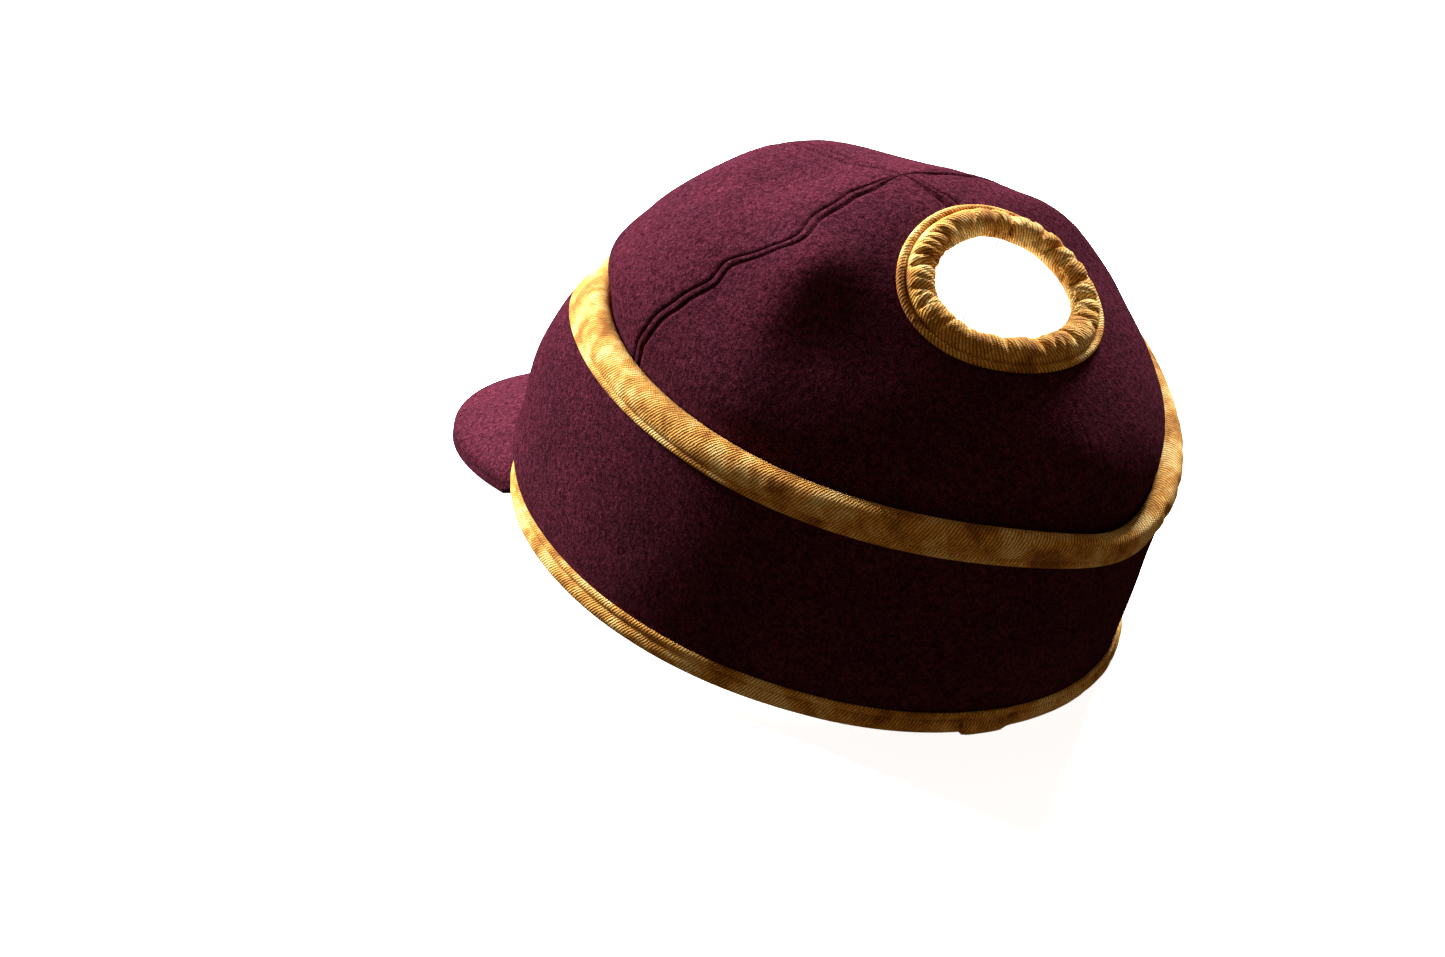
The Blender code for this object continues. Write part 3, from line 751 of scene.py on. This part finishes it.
def visor_point(across, along, hem=0.0):
    """The top of the visor's stack. Across runs from its left corner, and along from its root to its edge."""
    across, along, hem = np.broadcast_arrays(across, along, hem)
    turn = math.pi * across
    angle = -VISOR_ROOT_ANGLE - (math.pi - 2 * VISOR_ROOT_ANGLE) * across
    root = ring_point(angle, 0, VISOR_ROOT_INSET)
    edge_y = VISOR_CENTRE_Y - VISOR_REACH * np.sin(turn)
    edge = np.stack([VISOR_HALF_WIDTH * np.cos(turn), edge_y, 0 * turn], -1)
    width = np.linalg.norm(edge - root, axis=-1)
    reach = along - hem / width
    slope = VISOR_SLOPE + VISOR_CORNER_SLOPE * np.cos(turn) ** 2
    flat = root + (edge - root) * reach[..., None]
    drop = VISOR_ROOT_Z - slope * width * np.maximum(reach, 0) ** VISOR_BEND
    return np.stack([flat[..., 0], flat[..., 1], drop], -1), width


def make_visor(wool):
    """Two layers of wool over the stiff board, meeting in a seam round its edge and ends."""
    across = np.linspace(VISOR_END, 1 - VISOR_END, VISOR_COLUMNS)[None, :]
    along = 1 - np.linspace(1, 0, VISOR_ROWS)[:, None] ** 1.6
    surface, width = visor_point(across, along)
    edge_gap = (1 - along) * width
    end_gap = np.minimum(across - across[0, 0], across[0, -1] - across) * VISOR_LENGTHWAYS
    gap = np.minimum(edge_gap, end_gap)
    half = VISOR_STACK / 2
    fall = half - half * np.sqrt(1 - np.clip(1 - gap / half, 0, 1) ** 2)
    seam = 0.8 * MM * np.exp(-((gap / (0.35 * MM)) ** 2))
    dents = 0.5 * MM * uneven(surface, 30 * MM, 31) * smooth(0, 10 * MM, gap)
    behind = np.minimum(np.maximum(fall + 0.15 * MM, VISOR_CLOTH), half - 0.05 * MM)
    back_hem = np.minimum(VISOR_CLOTH, edge_gap + 0.4 * along * width)
    for name, side in (("visor_top", 1), ("visor_under", -1)):
        skin, _ = visor_point(across, along, seam)
        back, _ = visor_point(across, along, back_hem)
        middle = -half + side * 0.04 * MM
        skin[..., 2] += middle + side * (half - fall + dents * (side > 0))
        back[..., 2] += middle + side * np.maximum(half - behind, 0)
        piece = add_shell(name, skin, back, lengths(surface[30]), along[:, 0] * VISOR_CROSSWAYS, wool)
        dress(piece, "cap", "wool", name + "_cloth")


# ---------------------------------------------------------------- sweatband

# Its middle line, in mm: (outwards from the earband's outside, up from its lower edge).
SWEATBAND = (
    (-10.9, 0.3), (-10.2, 0.9), (-10.1, 3), (-10.7, 14),
    (-11.2, 25), (-11.6, 27.6), (-12.6, 28.2), (-12.9, 26.6),
)
SWEATBAND_POINTS, SWEATBAND_COLUMNS = 30, 240


def make_sweatband(material):
    """A folded tape inside the head opening."""
    outline, cloth = folded_strip(SWEATBAND, SWEATBAND_POINTS)
    turns = 2 * math.pi * np.arange(SWEATBAND_COLUMNS)[:, None] / SWEATBAND_COLUMNS
    grid = ring_point(turns, outline[:, 1], -outline[:, 0])
    piece = add_sweep("sweatband_tape", grid, lengths(grid[:, 0], closed=True), cloth, material)
    dress(piece, "cap", "facing", "sweatband")


# ---------------------------------------------------------------- materials


def start_material(name, roughness, specular):
    made = bpy.data.materials.new(name)
    made.use_nodes = True
    shader = made.node_tree.nodes["Principled BSDF"]
    shader.inputs["Roughness"].default_value = roughness
    shader.inputs["Specular IOR Level"].default_value = specular
    return made, made.node_tree, shader


def add_node(tree, kind, settings=None, **inputs):
    """A shader node. Inputs are values or outputs, by socket name with _ for a space, or by number as i0."""
    node = tree.nodes.new("ShaderNode" + kind)
    for key, value in (settings or {}).items():
        setattr(node, key, value)
    for key, value in inputs.items():
        numbered = key[0] == "i" and key[1:].isdigit()
        socket = node.inputs[int(key[1:]) if numbered else key.replace("_", " ")]
        if isinstance(value, bpy.types.NodeSocket):
            tree.links.new(value, socket)
        else:
            socket.default_value = value
    return node


def noise_of(tree, where, scale, detail=2.0, rough=0.5):
    made = add_node(tree, "TexNoise", None, Vector=where, Scale=scale, Detail=detail, Roughness=rough)
    return made.outputs["Fac"]


def ramp(tree, value, *stops):
    """A colour ramp through (position, colour) stops."""
    node = add_node(tree, "ValToRGB", None, Fac=value)
    band = node.color_ramp
    while len(band.elements) < len(stops):
        band.elements.new(0.5)
    for element, (position, colour) in zip(band.elements, stops):
        element.position = position
        element.color = (*colour, 1)
    return node.outputs["Color"]


def grey(value):
    return (value, value, value)


def mix(tree, kind, share, a, b):
    """Two colours blended. The factor and the colours are a Mix node's inputs 0, 6 and 7."""
    return add_node(tree, "Mix", {"data_type": "RGBA", "blend_type": kind}, i0=share, i6=a, i7=b).outputs[2]


def math_node(tree, operation, a, b):
    return add_node(tree, "Math", {"operation": operation}, i0=a, i1=b).outputs[0]


def part_of(tree, value, share):
    return math_node(tree, "MULTIPLY", value, share)


def finish_material(tree, shader, colour, height, strength, distance):
    """Links a colour, and a height as a bump, to the shader."""
    tree.links.new(colour, shader.inputs["Base Color"])
    raised = add_node(tree, "Bump", None, Height=height, Strength=strength, Distance=distance)
    tree.links.new(raised.outputs["Normal"], shader.inputs["Normal"])


WOOL_DARK, WOOL_PALE = (0.022, 0.0034, 0.0064), (0.080, 0.0150, 0.0275)
FIBRE_COLOUR = (0.22, 0.08, 0.10, 1)


def make_wool():
    """Melton wool: a dense felted nap, mottled, with fine speckle and a few pale loose fibres."""
    made, tree, shader = start_material("burgundy_wool", 0.95, 0.0)
    where = add_node(tree, "TexCoord").outputs["Object"]
    patches = noise_of(tree, where, 38, 3, 0.6)
    clumps = noise_of(tree, where, 620, 3, 0.65)
    speckle = noise_of(tree, where, 2000, 2, 0.7)
    colour = ramp(tree, clumps, (0.32, WOOL_DARK), (0.68, WOOL_PALE))
    colour = mix(tree, "MULTIPLY", 1.0, colour, ramp(tree, speckle, (0.38, grey(0.35)), (0.62, grey(1.68))))
    tint = ramp(tree, patches, (0.35, (0.84, 0.88, 0.92)), (0.65, (1.10, 1.04, 1.04)))
    colour = mix(tree, "MULTIPLY", 1.0, colour, tint)
    swirl = add_node(tree, "TexNoise", None, Vector=where, Scale=160.0).outputs["Color"]
    bent = mix(tree, "LINEAR_LIGHT", 0.006, where, swirl)
    cells = add_node(tree, "TexVoronoi", {"feature": "DISTANCE_TO_EDGE"}, Vector=bent, Scale=300.0)
    hair = ramp(tree, cells.outputs["Distance"], (0.0, grey(1.0)), (0.035, grey(0.0)))
    sparse = ramp(tree, noise_of(tree, where, 330, 1), (0.60, grey(0.0)), (0.66, grey(1.0)))
    fibres = math_node(tree, "MULTIPLY", hair, sparse)
    colour = mix(tree, "MIX", part_of(tree, fibres, 0.25), colour, FIBRE_COLOUR)
    height = math_node(tree, "ADD", part_of(tree, clumps, 0.8), part_of(tree, speckle, 0.6))
    height = math_node(tree, "ADD", height, part_of(tree, fibres, 0.35))
    shader.inputs["Sheen Weight"].default_value = 0.012
    shader.inputs["Sheen Roughness"].default_value = 0.5
    shader.inputs["Sheen Tint"].default_value = (0.80, 0.45, 0.52, 1)
    finish_material(tree, shader, colour, height, 0.85, 0.7 * MM)
    return made


# The twill's colour in the grooves between its ribs: painted shade.
RIB_SHADE = (0.50, 0.42, 0.34)
RIB_TURN = 28
RIB_SPACING = 0.95 * MM
RIB_SCALE = math.pi / 10 / RIB_SPACING


def wave_of(tree, cloth, turn, scale, distortion, detail, detail_scale):
    """Parallel ridges across the flat cloth, turned by degrees."""
    rotation = (0, 0, math.radians(turn))
    turned = add_node(tree, "Mapping", {"vector_type": "POINT"}, Vector=cloth, Rotation=rotation)
    return add_node(
        tree, "TexWave", {"bands_direction": "X", "wave_profile": "SIN"}, Vector=turned.outputs["Vector"],
        Scale=scale, Distortion=distortion, Detail=detail, Detail_Scale=detail_scale,
    ).outputs["Fac"]


def make_twill(name, pale, full, deep):
    """Cotton twill: fine diagonal ribs, unevenly dyed, with painted shade between the ribs and a painted highlight
    along their crests.
    """
    made, tree, shader = start_material(name, 0.75, 0.05)
    flat = add_node(tree, "UVMap", {"uv_map": "cloth"}).outputs["UV"]
    where = add_node(tree, "TexCoord").outputs["Object"]
    ribs = wave_of(tree, flat, RIB_TURN, RIB_SCALE, 3.0, 3.0, 2.0)
    threads = wave_of(tree, flat, RIB_TURN - 90, RIB_SCALE * 1.4, 2.5, 2.0, 1.0)
    stains = noise_of(tree, where, 75, 4, 0.66)
    fuzz = noise_of(tree, where, 1800, 2, 0.6)
    colour = ramp(tree, stains, (0.36, deep), (0.50, full), (0.63, pale))
    # The ribs' colour: painted shade in the grooves between them, and a painted highlight on their crests.
    colour = mix(tree, "MULTIPLY", 1.0, colour, ramp(tree, ribs, (0.1, RIB_SHADE), (0.75, grey(1.22))))
    colour = mix(tree, "MULTIPLY", 0.6, colour, ramp(tree, threads, (0.1, grey(0.72)), (0.8, grey(1.12))))
    colour = mix(tree, "MULTIPLY", 0.7, colour, ramp(tree, fuzz, (0.3, grey(0.72)), (0.7, grey(1.22))))
    height = math_node(tree, "ADD", ribs, part_of(tree, threads, 0.45))
    height = math_node(tree, "ADD", height, part_of(tree, fuzz, 0.4))
    shader.inputs["Sheen Weight"].default_value = 0.06
    shader.inputs["Sheen Tint"].default_value = (1.0, 0.85, 0.6, 1)
    finish_material(tree, shader, colour, height, 0.75, 0.22 * MM)
    return made


def make_satin():
    """Lining satin: smooth, with a faint weave and soft creases."""
    made, tree, shader = start_material("ivory_satin", 0.42, 0.45)
    where = add_node(tree, "TexCoord").outputs["Object"]
    weave = noise_of(tree, where, 2600, 1)
    cloud = noise_of(tree, where, 60, 2)
    colour = ramp(tree, cloud, (0.3, (0.84, 0.83, 0.79)), (0.7, (0.92, 0.91, 0.88)))
    height = math_node(tree, "ADD", part_of(tree, weave, 0.2), cloud)
    shader.inputs["Sheen Weight"].default_value = 0.15
    finish_material(tree, shader, colour, height, 0.35, 0.8 * MM)
    return made


def make_plain(name, dark, light, scale, roughness, strength, distance):
    """A plain woven or pressed material with a little unevenness in its colour and surface."""
    made, tree, shader = start_material(name, roughness, 0.25)
    where = add_node(tree, "TexCoord").outputs["Object"]
    grain = noise_of(tree, where, scale, 3, 0.6)
    colour = ramp(tree, grain, (0.3, dark), (0.7, light))
    finish_material(tree, shader, colour, grain, strength, distance)
    return made


# ---------------------------------------------------------------- camera and light

VIEW_AZIMUTH = math.radians(134.75)
VIEW_ELEVATION = math.radians(28.07)
VIEW_ROLL = math.radians(11.19)
VIEW_DISTANCE = 1064.4 * MM
VIEW_TARGET = np.array([0, 0, 62.4]) * MM
AIM_RIGHT, AIM_UP = 0.0354, 0.0321
LENS = 85
NEAREST_SHOWN = 0.05


def make_camera():
    """The camera behind the wearer's left shoulder, set out in the cap's frame."""
    a, e = VIEW_AZIMUTH, VIEW_ELEVATION
    back = np.array([math.sin(a) * math.cos(e), -math.cos(a) * math.cos(e), math.sin(e)])
    level = np.array([math.cos(a), math.sin(a), 0])
    upright = np.cross(back, level)
    right = level * math.cos(VIEW_ROLL) + upright * math.sin(VIEW_ROLL)
    up = np.cross(back, right)
    aim = unit(-back - AIM_RIGHT * right - AIM_UP * up)
    right = unit(right - aim * right.dot(aim))
    up = np.cross(right, aim)
    camera = add_object("camera", bpy.data.cameras.new("camera"))
    bpy.context.scene.camera = camera
    camera.data.lens = LENS
    camera.data.clip_start = NEAREST_SHOWN
    matrix = np.eye(4)
    matrix[:3, :3] = (np.array([right, up, -aim]) @ CAP_AXES).T
    matrix[:3, 3] = to_world(VIEW_TARGET + back * VIEW_DISTANCE)
    camera.matrix_world = Matrix(matrix.tolist())


# Each lamp's azimuth and elevation in degrees, and its power. Azimuth 0 is the visor side, and 90 the
# wearer's left.
LAMPS = {"key": (13, 27, 118), "rim": (302, 38, 88)}
LAMP_TARGET = Vector((0, 0, 70 * MM))
LAMP_DISTANCE = 1.6
LAMP_SIZE = 0.45


def add_lamp(name, azimuth, elevation, power):
    """A square area light aimed at the cap."""
    a, e = math.radians(azimuth), math.radians(elevation)
    towards = Vector((math.sin(a) * math.cos(e), -math.cos(a) * math.cos(e), math.sin(e)))
    light = bpy.data.lights.new(name, "AREA")
    light.size = LAMP_SIZE
    light.energy = power
    placed = add_object(name, light)
    placed.location = LAMP_TARGET + towards * LAMP_DISTANCE
    placed.rotation_euler = (-towards).to_track_quat("-Z", "Y").to_euler()


FLOOR_REACH = 12.0
FLOOR_GLOW = 0.9
INSIDE_AT = np.array([0, 5, 62]) * MM
INSIDE_POWER = 0.35
INSIDE_RADIUS = 12 * MM
WORLD_COLOUR = (1, 0.74, 0.48, 1)
WORLD_STRENGTH = 0.15


def make_studio():
    """A pale glowing floor, a warm world, a key lamp near the visor side, a rim lamp from the wearer's front
    right, and a small light inside the crown that shows the lining through the ponytail opening.
    """
    corners = [(x * FLOOR_REACH, y * FLOOR_REACH, 0) for x, y in ((-1, -1), (1, -1), (1, 1), (-1, 1))]
    floor_mesh = bpy.data.meshes.new("floor")
    floor_mesh.from_pydata(corners, [], [(0, 1, 2, 3)])
    floor = add_object("floor", floor_mesh)
    pale, _, shader = start_material("pale_floor", 0.9, 0.1)
    shader.inputs["Base Color"].default_value = (0.90, 0.90, 0.90, 1)
    shader.inputs["Emission Color"].default_value = (1, 1, 1, 1)
    shader.inputs["Emission Strength"].default_value = FLOOR_GLOW
    floor_mesh.materials.append(pale)
    floor.visible_diffuse = False
    floor.visible_glossy = False
    world = bpy.data.worlds.new("studio")
    world.use_nodes = True
    world.node_tree.nodes["Background"].inputs["Color"].default_value = WORLD_COLOUR
    world.node_tree.nodes["Background"].inputs["Strength"].default_value = WORLD_STRENGTH
    bpy.context.scene.world = world
    bpy.context.scene.view_settings.view_transform = "Standard"
    for name, lamp in LAMPS.items():
        add_lamp(name, *lamp)
    inside = bpy.data.lights.new("inside", "POINT")
    inside.energy = INSIDE_POWER
    inside.shadow_soft_size = INSIDE_RADIUS
    add_object("inside", inside).location = to_world(INSIDE_AT)


# ---------------------------------------------------------------- everything

make_camera()
WOOL_CLOTH = make_wool()
GOLD_TWILL = make_twill("gold_twill", (0.92, 0.64, 0.24), (0.70, 0.345, 0.062), (0.34, 0.125, 0.016))
IVORY_SATIN = make_satin()
DARK_FACING = make_plain(
    "dark_facing", (0.012, 0.010, 0.010), (0.035, 0.028, 0.028), 900, 0.85, 0.4, 0.3 * MM
)
FACING_INSET = 2.6 * MM
FACING = 1.0 * MM
ELASTIC = make_plain("white_elastic", (0.55, 0.54, 0.50), (0.80, 0.79, 0.75), 1200, 0.8, 0.5, 0.3 * MM)
BOARD = make_plain("visor_board", (0.55, 0.53, 0.48), (0.72, 0.70, 0.64), 300, 0.6, 0.2, 0.2 * MM)

make_crown(WOOL_CLOTH, IVORY_SATIN)
make_visor(WOOL_CLOTH)
make_sweatband(DARK_FACING)
ring, ring_cut = make_ring(GOLD_TWILL)
band, band_cut = make_band_layer("earband_wool", "earband_outer", "wool", 0.0, WOOL, WOOL_CLOTH)
facing, facing_cut = make_band_layer(
    "earband_lining", "earband_facing", "facing", FACING_INSET, FACING, DARK_FACING
)
top, top_cut = make_edge_binding(
    "upper_binding", "earband_top_binding", BAND_HEIGHT, TOP_BINDING, 41, UPPER_PINCHES, GOLD_TWILL
)
low, low_cut = make_edge_binding(
    "lower_binding", "earband_bottom_binding", 0.0, LOW_BINDING, 51, (), GOLD_TWILL
)
for node, material in (("ponytail_elastic", ELASTIC), ("visor_board", BOARD)):
    frame["nodes"][node].data.materials.clear()
    frame["nodes"][node].data.materials.append(material)

make_studio()
